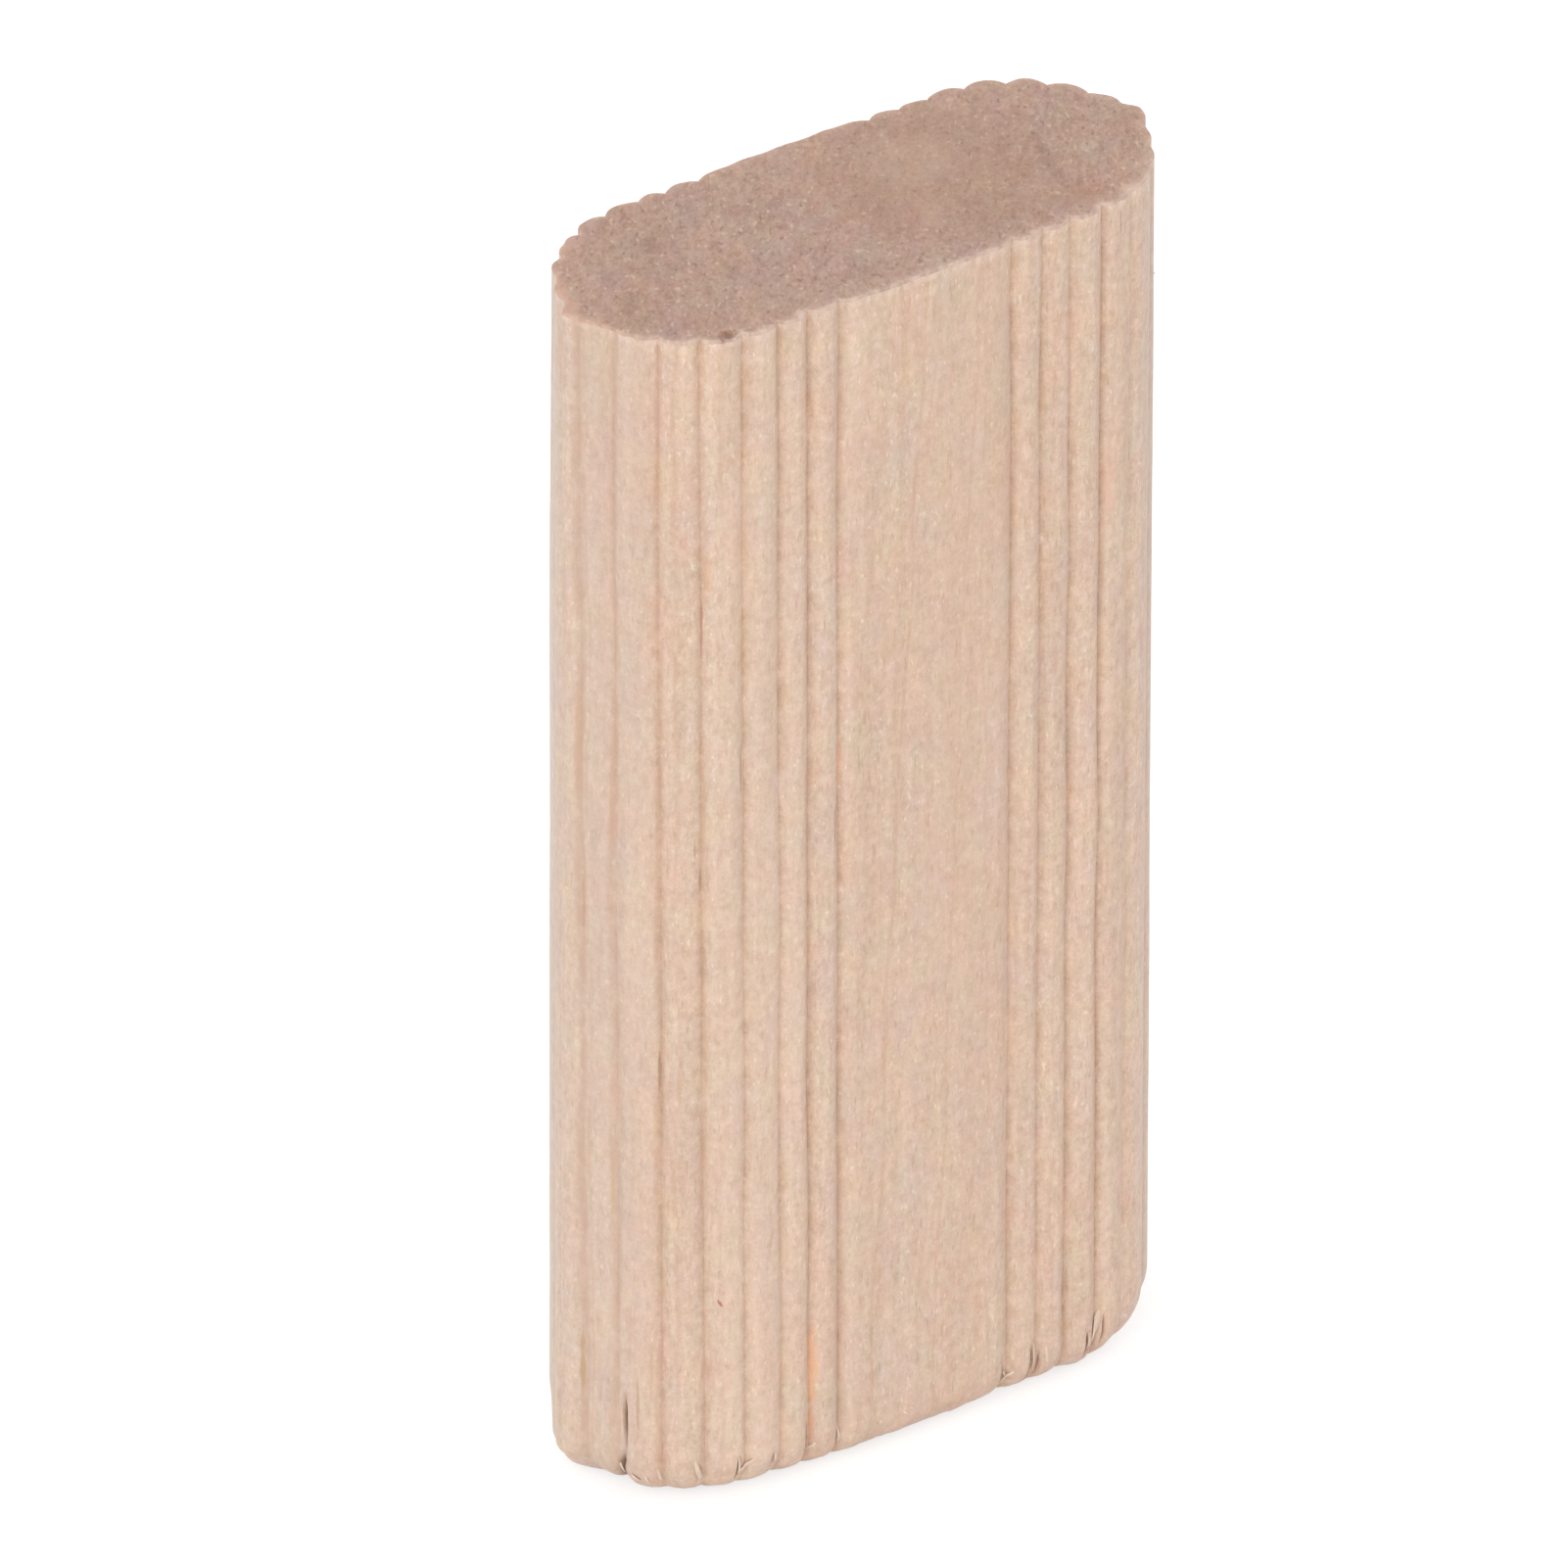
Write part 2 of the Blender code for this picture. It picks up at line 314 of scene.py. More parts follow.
# Rings of the foot and of the sawn end: how far each lies in, in millimetres,
# and how far in the reeding dies out on the sawn end
FOOT_INSETS = (4.6, 4.0, 3.4, 2.9)
CAP_INSETS = (0.16, 0.26, 0.4, 0.58, 0.8, 1.1, 1.5, 2.1, 2.8, 3.6, 4.5)
CAP_RELIEF_REACH = 1.6
CREASE_ANGLE = 42.0

# Unevenness: millimetres from lump to lump across and along the grain, its
# height in millimetres or its share, and the number of its random draw
WANDER = (GROOVE_PITCH, 6.0, 0.035, 0)
SWELL = (GROOVE_PITCH, 4.0, 0.16, 1)
FUZZ = (0.16, 1.1, 0.006, 2)
LUMPS = (1.3, 7.0, 0.012, 3)
DENTS = (0.9, 1.0, 0.05, 4)
NIBBLES = (0.3, 1.0, 0.7, 5)
MOTTLE = (0.8, 2.2, 0.35, 6)
CHIPS = (0.22, 0.3, 0.035, 8)
FINE_NIBBLES = (0.13, 1.0, 0.5, 9)
SEED = 7
LATTICE_ROWS = 512


def length_setting(name, description, default):
    """A length in the sidebar, in metres."""
    return FloatProperty(
        name=name, description=description, default=default, unit="LENGTH", precision=5
    )


def angle_setting(name, description, degrees):
    """An angle in the sidebar."""
    return FloatProperty(
        name=name, description=description, default=math.radians(degrees), subtype="ANGLE"
    )


def colour_setting(name, description, default):
    """A colour in the sidebar, as linear red, green and blue."""
    return FloatVectorProperty(
        name=name, description=description, default=default, subtype="COLOR"
    )


class TenonSizes(bpy.types.PropertyGroup):
    """Sizes of the tenon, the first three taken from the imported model."""

    width: length_setting(
        "Width", "Width over the plain round ends, without the tip ridges",
        NODE_HIGH.x - NODE_LOW.x - 2 * TIP_RIDGE * MM,
    )
    thickness: length_setting(
        "Thickness", "Thickness over the two plain lands", NODE_HIGH.y - NODE_LOW.y
    )
    length: length_setting(
        "Length", "Length from the foot to the sawn end", NODE_HIGH.z - NODE_LOW.z
    )
    rim: length_setting("Rim radius", "Mean radius of the pressed rim at the lower end", 1.8 * MM)
    arris: length_setting("Arris", "Width of the worn arris round the sawn end", 0.04 * MM)


class TenonColours(bpy.types.PropertyGroup):
    """Colours of the wood."""

    pale: colour_setting("Pale grain", "The lightest of the long grain", (0.775, 0.584, 0.467))
    tan: colour_setting("Tan grain", "The darkest of the long grain", (0.581, 0.405, 0.293))
    growth: colour_setting("Growth line", "Warm line between two years' growth", (0.58, 0.36, 0.25))
    # Partly painted shade: the groove colour stands for bruised wood and for the shade that falls
    # in the groove bottoms
    groove: colour_setting("Groove", "Bruised wood at a groove's bottom", (0.40, 0.22, 0.11))
    # Painted shade: the torn colour darkens each slit by its depth, for the shade inside it and
    # beside the lifted fibres next to it
    torn: colour_setting("Torn wood", "Inside of a slit", (0.12, 0.065, 0.05))
    fibre: colour_setting("Lifted fibre", "Fibres off the surface", (0.81, 0.64, 0.51))
    end_pale: colour_setting("Pale end grain", "Lightest of the sawn end", (0.545, 0.372, 0.296))
    end_dark: colour_setting("Dark end grain", "Darkest of the sawn end", (0.362, 0.218, 0.166))


class StageSettings(bpy.types.PropertyGroup):
    """Floor, lamp and camera."""

    floor: colour_setting("Floor", "Colour of the floor", (0.92, 0.92, 0.92))
    sky: FloatProperty(
        name="Room light", description="Strength of the even light from all round",
        default=0.88, min=0.0,
    )
    lamp: FloatProperty(
        name="Soft box", description="Power of the large soft lamp",
        default=10.0, min=0.0, unit="POWER",
    )
    azimuth: angle_setting(
        "Camera azimuth", "Turn of the camera round the tenon, from the broad face", -34.20
    )
    elevation: angle_setting("Camera elevation", "Height of the camera above the horizon", 32.58)
    roll: angle_setting("Camera roll", "Lean of the camera to its side", 0.196)
    distance: length_setting(
        "Camera distance", "Distance from the camera to the middle of the tenon", 2.5
    )
    frame_width: length_setting(
        "Frame width", "Width of the picture at the middle of the tenon", 56.64 * MM
    )


def new_piece(name, mesh):
    """An object at the origin for a mesh, riding on the only body."""
    piece = bpy.data.objects.new(name, mesh)
    bpy.context.scene.collection.objects.link(piece)
    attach(piece, "root")
    return piece


def lattice_noise(across, along, across_step, along_step, period, seed):
    """Smooth noise from -1 to 1 on a lattice of random numbers.

    Each place takes the four random numbers round it, blended by a smooth step
    of its share of the cell. The lattice repeats after the period across.
    """
    cells = max(1, round(period / across_step))
    numbers = np.random.default_rng(seed).uniform(-1, 1, (LATTICE_ROWS, cells))
    column = np.mod(across / period, 1.0) * cells
    row = along / along_step + LATTICE_ROWS / 4
    left, low = np.floor(column).astype(int), np.floor(row).astype(int)
    share_across, share_along = column - left, row - low
    share_across = share_across ** 2 * (3 - 2 * share_across)
    share_along = share_along ** 2 * (3 - 2 * share_along)
    left, right = left % cells, (left + 1) % cells
    low, high = low % LATTICE_ROWS, (low + 1) % LATTICE_ROWS
    below = numbers[low, left] * (1 - share_across) + numbers[low, right] * share_across
    above = numbers[high, left] * (1 - share_across) + numbers[high, right] * share_across
    return below * (1 - share_along) + above * share_along


def unevenness(kind, across, along, period):
    """Lattice noise of one kind, as high as the kind says."""
    across_step, along_step, height, draw = kind
    noise = lattice_noise(across, along, across_step, along_step, period, SEED + draw)
    return height * noise


class Outline:
    """The plain section: a flat bar with two round ends, measured round its outline.

    Distances are in millimetres, from the middle of the front face towards +X.
    """

    def __init__(self, sizes):
        self.radius = sizes.thickness / MM / 2
        self.core = sizes.width / MM / 2 - self.radius
        self.tip = self.core + math.pi * self.radius / 2
        self.round = 4 * self.tip

    def frame(self, place):
        """Core point and outward normal, each as x and y, at distances round it.

        On the flat faces the core point slides along and the normal stays. On
        the round ends the core point stays and the normal turns by the
        distance divided by the radius.
        """
        place, back = np.mod(place, self.round), self.behind(place)
        along = np.where(back, self.round / 2 - place, place)
        along = np.where(place >= self.round * 3 / 4, place - self.round, along)
        side = np.where(along < 0, -1.0, 1.0)
        angle = np.maximum(np.abs(along) - self.core, 0.0) / self.radius
        core_x = side * np.minimum(np.abs(along), self.core)
        return core_x, side * np.sin(angle), np.cos(angle) * np.where(back, 1.0, -1.0)

    def to_tip(self, place):
        """Distance round the outline to the nearer tip."""
        return np.abs(np.mod(place, self.round / 2) - self.round / 4)

    def behind(self, place):
        """Whether a place lies on the back half, from tip to tip."""
        place = np.mod(place, self.round)
        return (place >= self.round / 4) & (place < self.round * 3 / 4)

    def centred(self, place):
        """The place as a distance either way from the middle of the front."""
        return np.mod(place + self.round / 2, self.round) - self.round / 2


def groove_table(outline):
    """Place, depth and darkness of every groove, in order round the outline."""
    back = outline.round / 2 - BACK_CUT_SHIFT
    quarters = (
        (0.0, 1, RIGHT_FRONT_GROOVES), (back, -1, RIGHT_BACK_GROOVES),
        (back, 1, LEFT_BACK_GROOVES), (outline.round, -1, LEFT_FRONT_GROOVES),
    )
    rows = [
        (start + way * place, depth, dark)
        for start, way, quarter in quarters for place, depth, dark in quarter
    ]
    return np.array(sorted(rows)).T


def groove_drift(outline, grooves, height_share):
    """How far each groove has leaned aside at a share of the length.

    The lean is a mean plus a sine wave round the outline. The front grooves
    are measured at half the length and the back ones at the sawn end.
    """
    measured_at = np.where(outline.behind(grooves), 1.0, 0.5)
    lean = MEAN_LEAN - LEAN_SWING * np.sin(2 * np.pi * grooves / outline.round)
    return lean * (measured_at - height_share)


def column_shares(grooves):
    """Which groove each column follows, and its share of the way to the next.

    The shares follow a cosine, so that the columns crowd at the grooves, where
    the surface bends most.
    """
    lands = {len(grooves) // 2 - 1, len(grooves) - 1}
    owners, shares = [], []
    for reed in range(len(grooves)):
        count = LAND_COLUMNS if reed in lands else REED_COLUMNS
        steps = np.arange(count) / count
        owners.append(np.full(count, reed))
        crowded = (1 - np.cos(np.pi * steps)) / 2
        shares.append(CROWDING * crowded + (1 - CROWDING) * steps)
    return np.concatenate(owners), np.concatenate(shares)


def body_profile(sizes):
    """Rows of the body from the middle of the foot to the middle of the sawn end.

    Each row has a height, how far it lies in from the plain section, and the
    share of the reeding that it keeps. The rim is a quarter circle. Lengths are
    in millimetres. The two counts say where the rim and the sawn end begin.
    """
    length, rim = sizes.length / MM, sizes.rim / MM
    turn = np.linspace(0, np.pi / 2, RIM_ROWS)
    eased = 1 - (1 - turn / (np.pi / 2)) ** 2
    low = np.arange(rim + LOW_STEP, LOW_TOP, LOW_STEP)
    high = np.arange(LOW_TOP, length - HIGH_STOP, HIGH_STEP)
    side = np.concatenate([low, high, length - np.array(TOP_ROWS)])
    foot, cap = np.array(FOOT_INSETS), np.array(CAP_INSETS)
    flat, top = np.zeros_like(foot), np.full_like(cap, length)
    cap_relief = np.clip(1 - cap / CAP_RELIEF_REACH, 0, 1)
    heights = np.concatenate([flat, rim * (1 - np.cos(turn)), side, top])
    insets = np.concatenate([foot, rim * (1 - np.sin(turn)), np.zeros_like(side), cap])
    relief = np.concatenate([flat, eased, np.ones_like(side), cap_relief])
    return heights, insets, relief, len(foot), len(foot) + len(turn) + len(side)


def reeding(outline, places, below_end, lows, highs, low_depths, high_depths):
    """Height of the reeds over the plain section.

    Each flank rises from its groove as a parabola that is level at the crest.
    On the front, part of the depth lies in a second and narrower parabola, so
    that a crisp line runs along the groove between two rounded crowns. At the
    tips a ridge of half a cosine wave is added, and a low reed is let down by
    a bell curve, whose depth changes evenly over the length below the sawn end.
    """
    behind = outline.behind(places)
    line_share = np.where(behind, 0.0, FRONT_LINE_SHARE)
    height = np.zeros(places.shape)
    for reach, share in ((REED_FLANK, 1 - line_share), (FRONT_LINE_FLANK, line_share)):
        flank = np.minimum(reach, (highs - lows) / 2)
        from_low = 1 - np.minimum(places - lows, flank) / flank
        from_high = 1 - np.minimum(highs - places, flank) / flank
        height -= share * (low_depths * from_low ** 2 + high_depths * from_high ** 2)
    reach = np.where(behind, BACK_RIDGE_REACH, FRONT_RIDGE_REACH)
    share = np.minimum(outline.to_tip(places) / reach, 1.0)
    height += TIP_RIDGE * (1 + np.cos(np.pi * share)) / 2
    lower = np.clip(below_end / FADING_REACH, 0, 1)
    for place, top_drop, low_drop in LOW_REEDS:
        drop = top_drop + (low_drop - top_drop) * lower
        height -= drop * np.exp(-((places - place) / LOW_REED_REACH) ** 2)
    return height


def rim_radius(outline, places):
    """Radius of the pressed rim at each place, read off between the known ones."""
    return np.interp(outline.centred(places), *np.array(RIM_RADII).T)


def tip_press(outline, places, heights):
    """How far the press bent the left tip in: a bell curve across, a parabola down."""
    place, reach, begin, depth = TIP_PRESS
    away = outline.centred(places - place)
    down = np.clip(1 - heights / begin, 0, 1)
    return depth * down * (2 - down) * np.exp(-(away / reach) ** 2)


def slit_field(outline, places, heights):
    """Depth of the torn slits at each place, and how dark they are, from 0 to 1.

    A slit is a bell curve across, and along it a flat top with soft ends. The
    deeper it is, the darker, as painted shade inside the slit.
    """
    depth, dark = np.zeros(places.shape), np.zeros(places.shape)
    around = outline.centred(places)
    for place, drift, low, high, half_width, deep in SLITS:
        middle = place + drift * (heights - low)
        across = np.exp(-((around - middle) / half_width) ** 2)
        along = np.clip((high - heights) / ((high - low) * SLIT_TAPER), 0, 1)
        along = along * np.clip((heights - low + SLIT_FOOT) / SLIT_FOOT, 0, 1)
        depth = np.maximum(depth, deep * across * along)
        dark = np.maximum(dark, across * along * min(deep / SLIT_FULL_SHADE, 1.0))
    return depth, dark


def body_surface(sizes):
    """The body's points as rows and columns, with the fields its wood reads.

    Every point is the core point plus the outward normal times the end radius
    less the row's inset and the slits, plus the reeding. The inset grows with
    the rim's radius there and where the press bent the tip. The columns follow
    the grooves as they lean, so each is one place on one reed all the way up.
    """
    outline = Outline(sizes)
    length, rim = sizes.length / MM, sizes.rim / MM
    grooves, depths, darkness = groove_table(outline)
    owners, shares = column_shares(grooves)
    heights, insets, relief, foot_rows, cap_start = body_profile(sizes)
    rows = len(heights)

    drift = groove_drift(outline, grooves, heights[:, None] / length)
    along = np.repeat(heights[:, None], len(grooves), axis=1)
    across = np.arange(len(grooves)) * GROOVE_PITCH + along * 0
    period = len(grooves) * GROOVE_PITCH
    lines = grooves + drift + unevenness(WANDER, across, along, period)
    deep = depths * (1 + unevenness(SWELL, across, along, period))

    following = np.concatenate([lines[:, 1:], lines[:, :1] + outline.round], axis=1)
    lows, highs = lines[:, owners], following[:, owners]
    around = lows + shares * (highs - lows)
    up = np.repeat(heights[:, None], len(owners), axis=1)
    pressed = rim_radius(outline, around) / rim
    fading = np.clip((LOW_TOP - up) / (LOW_TOP - rim), 0, 1)
    up = up * (1 + (pressed - 1) * fading)

    def uneven(kind, along):
        """One kind of unevenness at every point."""
        return unevenness(kind, around, along, outline.round)

    next_deep = np.roll(deep, -1, axis=1)[:, owners]
    reeds = reeding(outline, around, length - up, lows, highs, deep[:, owners], next_deep)
    reeds += uneven(FUZZ, up) + uneven(LUMPS, up)
    slits, torn = slit_field(outline, around, up)

    is_rim = ((np.arange(rows) >= foot_rows) & (heights < rim))[:, None]
    inset = insets[:, None] * np.where(is_rim, pressed, 1.0)
    inset[foot_rows:] += tip_press(outline, around, up)[foot_rows:]
    on_rim = np.clip(1 - heights[:, None] / rim, 0, 1)
    inset += on_rim * (uneven(DENTS, up * 0) + uneven(CHIPS, up) + RIM_WEAR) * is_rim

    core_x, normal_x, normal_y = outline.frame(around)
    reach = outline.radius - inset + reeds * relief[:, None] - slits
    points = np.stack([core_x + normal_x * reach, normal_y * reach, up], axis=-1)

    last = cap_start - 1
    nibble = (uneven(NIBBLES, up * 0) + uneven(FINE_NIBBLES, up * 0))[last]
    arris = sizes.arris / MM * (1 + ARRIS_SPREAD * nibble)
    points[last - 1:last + 1, :, 2] -= np.outer(TOP_WANDER, nibble)

    def arris_row(share_in, share_down):
        """One row round the arris, by its shares of the arris in and down."""
        edge = outline.radius - share_in * arris + reeds[last]
        level = length - share_down * arris
        return np.stack([
            core_x[last] + normal_x[last] * edge, normal_y[last] * edge, level,
        ], axis=-1)[None]

    rounded = [arris_row(0.0, 1.0), arris_row(0.3, 0.3), arris_row(1.0, 0.0)]
    points = np.concatenate([points[:cap_start]] + rounded + [points[cap_start:]])
    flat = points[cap_start + 2:]
    half_width, half_length, pore_depth = PORE
    away = ((flat[..., 0] - SAWN_MARKS[0][0]) / half_width) ** 2
    away += ((flat[..., 1] - SAWN_MARKS[0][1]) / half_length) ** 2
    flat[..., 2] -= pore_depth * np.exp(-away)

    # Groove darkness, partly bruised wood and partly painted shade in the groove bottoms
    nearest = np.minimum(around - lows, highs - around)
    closer_low = around - lows < highs - around
    stain_and_shade = np.where(closer_low, darkness[owners], np.roll(darkness, -1)[owners])
    line = np.exp(-(nearest / STAIN_AND_SHADE_REACH) ** 2) * stain_and_shade * (0.8 + uneven(MOTTLE, up))
    line *= np.clip((up + 0.2) / 0.9, 0, 1)
    pale, edge = np.zeros(up.shape), np.zeros(up.shape)
    pale[last - 1:last + 1] = 1.0
    edge[last:] = np.exp(-insets[last:, None] / EDGE_REACH)
    fields = {"groove": np.clip(line, 0, 1), "torn": torn, "arris": pale, "edge": edge}
    order = list(range(cap_start)) + [last] * 3 + list(range(cap_start, rows))
    fields = {name: field[order] for name, field in fields.items()}
    unrolled = np.stack([around, up], axis=-1)[order]
    return points * MM, fields, unrolled, foot_rows, cap_start


def closed_skin(name, points):
    """A mesh over rows of points that close round, with a flat face at either end.

    A face joins each point to the next in its row and to the two in the row
    above. Several skins of one size may be stacked in front.
    """
    stack = points.reshape(-1, *points.shape[-3:])
    count, rows, columns = stack.shape[:3]
    index = np.arange(count * rows * columns).reshape(count, rows, columns)
    here, beside = index[:, :-1, :], np.roll(index[:, :-1, :], -1, axis=2)
    above, above_beside = index[:, 1:, :], np.roll(index[:, 1:, :], -1, axis=2)
    quads = np.stack([here, beside, above_beside, above], axis=-1).reshape(-1, 4)
    ends = np.concatenate([index[:, 0, ::-1], index[:, -1, :]])
    loops = np.concatenate([quads.ravel(), ends.ravel()])
    totals = np.concatenate([np.full(len(quads), 4), np.full(len(ends), columns)])
    starts = np.concatenate([[0], np.cumsum(totals)[:-1]])
    mesh = bpy.data.meshes.new(name)
    mesh.vertices.add(len(stack.reshape(-1, 3)))
    mesh.vertices.foreach_set("co", stack.astype(np.float32).ravel())
    mesh.loops.add(len(loops))
    mesh.loops.foreach_set("vertex_index", loops.astype(np.int32))
    mesh.polygons.add(len(totals))
    mesh.polygons.foreach_set("loop_start", starts.astype(np.int32))
    mesh.update(calc_edges=True)
    mesh.validate()
    mesh.shade_smooth()
    return mesh


def write_field(mesh, name, values):
    """A number for every point of a mesh, for its wood to read."""
    layer = mesh.attributes.new(name, "FLOAT", "POINT")
    layer.data.foreach_set("value", values.astype(np.float32).ravel())


def write_unrolled(mesh, unrolled, outline_round):
    """The unrolled surface as a UV map: millimetres round and millimetres up.

    The faces that cross from the last column to the first take the distance
    past the full round, so that no face runs backwards.
    """
    rows, columns = unrolled.shape[:2]
    corner = np.zeros(len(mesh.loops), dtype=np.int32)
    mesh.loops.foreach_get("vertex_index", corner)
    uv = unrolled.reshape(-1, 2)[corner]
    quads = (rows - 1) * columns * 4
    around = uv[:quads, 0].reshape(-1, 4)
    crossing = around.max(axis=1) - around.min(axis=1) > outline_round / 2
    low = around < outline_round / 2
    around = np.where(crossing[:, None] & low, around + outline_round, around)
    past = around.mean(axis=1) > outline_round / 2
    around = np.where(past[:, None], around - outline_round, around)
    uv[:quads, 0] = around.ravel()
    layer = mesh.uv_layers.new(name="unrolled")
    layer.data.foreach_set("uv", uv.astype(np.float32).ravel())


class Wire:
    """An output of a node, on which Python's arithmetic makes Math nodes."""

    def __init__(self, board, socket):
        self.board = board
        self.socket = socket

    def maths(self, operation, first, second=0.0):
        settings = {"operation": operation}
        return self.board.node("ShaderNodeMath", settings, {0: first, 1: second})

    def __add__(self, other):
        return self.maths("ADD", self, other)

    def __radd__(self, other):
        return self.maths("ADD", other, self)

    def __sub__(self, other):
        return self.maths("SUBTRACT", self, other)

    def __rsub__(self, other):
        return self.maths("SUBTRACT", other, self)

    def __mul__(self, other):
        return self.maths("MULTIPLY", self, other)

    def __rmul__(self, other):
        return self.maths("MULTIPLY", other, self)

    def __truediv__(self, other):
        return self.maths("DIVIDE", self, other)

    def __abs__(self):
        return self.maths("ABSOLUTE", self)


class Board:
    """The nodes of one material."""

    def __init__(self, name):
        self.material = bpy.data.materials.new(name)
        self.material.use_nodes = True
        self.tree = self.material.node_tree
        self.shader = self.tree.nodes["Principled BSDF"]

    def node(self, kind, settings, inputs, output=0):
        """Any node: its type, its settings, and the values or wires of its sockets."""
        made = self.tree.nodes.new(kind)
        for name, value in settings.items():
            setattr(made, name, value)
        for key, value in inputs.items():
            self.set_input(made.inputs[key], value)
        return Wire(self, made.outputs[output])

    def set_input(self, socket, value):
        """Link a wire to a socket, or set its value."""
        if isinstance(value, Wire):
            self.tree.links.new(value.socket, socket)
        elif isinstance(socket.default_value, float):
            socket.default_value = value
        else:
            wanted = len(socket.default_value)
            socket.default_value = tuple(value) + (1.0,) * (wanted - len(tuple(value)))

    def set_shader(self, inputs):
        """Give the shader its inputs, each a wire or a value."""
        for name, value in inputs.items():
            self.set_input(self.shader.inputs[name], value)

    def vector(self, operation, first, second):
        """Arithmetic on two vectors or colours."""
        return self.node("ShaderNodeVectorMath", {"operation": operation}, {0: first, 1: second})

    def parts(self, where):
        """The first two parts of a vector, as two wires."""
        first = self.node("ShaderNodeSeparateXYZ", {}, {0: where})
        return first, Wire(self, first.socket.node.outputs[1])

    def place(self, across, along, slant=1.0):
        """Object coordinates stretched: cycles per millimetre across and up the grain.

        A slant below one turns them to the saw's way over the end and draws
        them out along it.
        """
        where = self.node("ShaderNodeTexCoord", {}, {}, "Object")
        if slant != 1.0:
            turn = {"Vector": where, "Angle": math.radians(SAW_TURN)}
            where = self.node("ShaderNodeVectorRotate", {"rotation_type": "Z_AXIS"}, turn)
        return self.vector("MULTIPLY", where, (across / MM, across * slant / MM, along / MM))

    def noise(self, across, along, detail=2.0, roughness=0.5, shift=0.0, slant=1.0):
        """Noise about zero, from roughly -1 to 1, drawn out along the grain."""
        where = self.place(across, along, slant)
        moved = self.vector("ADD", where, (shift, shift * 0.7, shift * 0.3))
        inputs = {"Vector": moved, "Scale": 1.0, "Detail": detail, "Roughness": roughness}
        return (self.node("ShaderNodeTexNoise", {}, inputs, "Fac") - 0.5) * 3.0

    def field(self, name):
        """A number stored on the mesh."""
        return self.node("ShaderNodeAttribute", {"attribute_name": name}, {}, "Fac")

    def clamp(self, value, low=0.0, high=1.0, to_low=0.0, to_high=1.0, smooth=False):
        """A value carried from one range to another and held inside it."""
        return self.node(
            "ShaderNodeMapRange",
            {"interpolation_type": "SMOOTHSTEP" if smooth else "LINEAR", "clamp": True},
            {0: value, 1: low, 2: high, 3: to_low, 4: to_high},
        )

    def blend(self, share, first, second):
        """A colour between two colours."""
        settings = {"data_type": "RGBA"}
        return self.node("ShaderNodeMix", settings, {0: share, 6: first, 7: second}, 2)

    def unrolled(self):
        """Millimetres round the outline and millimetres up, as two wires."""
        return self.parts(self.node("ShaderNodeUVMap", {"uv_map": "unrolled"}, {}, "UV"))

    def hued(self, colour, strength, across, along, slant=1.0):
        """A colour that drifts to orange and to blue, and to pink and to green.

        Two noises each choose a tint between their own two, and the colour is
        multiplied by both tints.
        """
        less = strength * 0.85
        tints = (
            (31.0, (1 + less, 1.0, 1 - less), (1 - less, 1.0, 1 + less)),
            (67.0, (1.0, 1 - strength, 1.0), (1.0, 1 + strength, 1.0)),
        )
        for shift, first, second in tints:
            share = self.clamp(self.noise(across, along, 4.0, 0.72, shift, slant), -0.6, 0.6)
            colour = self.vector("MULTIPLY", colour, self.blend(share, first, second))
        return colour

    def marked(self, colour, across, along, marks, ragged):
        """A colour with ragged oval marks on it, each of its own colour."""
        for sideways, lengthways, half_width, half_length, turn, strength, mark in marks:
            lean_in, lean_up = math.cos(math.radians(turn)), math.sin(math.radians(turn))
            right, up = across - sideways, along - lengthways
            narrow = (right * lean_in + up * lean_up) / half_width
            long = (up * lean_in - right * lean_up) / half_length
            reach = narrow * narrow + long * long + ragged * 1.1
            mask = self.clamp(reach, 0.25, 1.7, strength, 0.0, smooth=True)
            colour = self.blend(mask, colour, mark)
        return colour

    def finish(self, colour, roughness, height, bump_depth):
        """Join the colour, the roughness and the fine relief to the shader."""
        bump = {"Strength": 1.0, "Distance": bump_depth, "Height": height}
        relief = self.node("ShaderNodeBump", {}, bump, "Normal")
        self.set_shader({
            "Base Color": colour, "Roughness": roughness, "Normal": relief,
            "Specular IOR Level": 0.4, "Sheen Weight": 0.26, "Sheen Roughness": 0.35,
        })
        return self.material


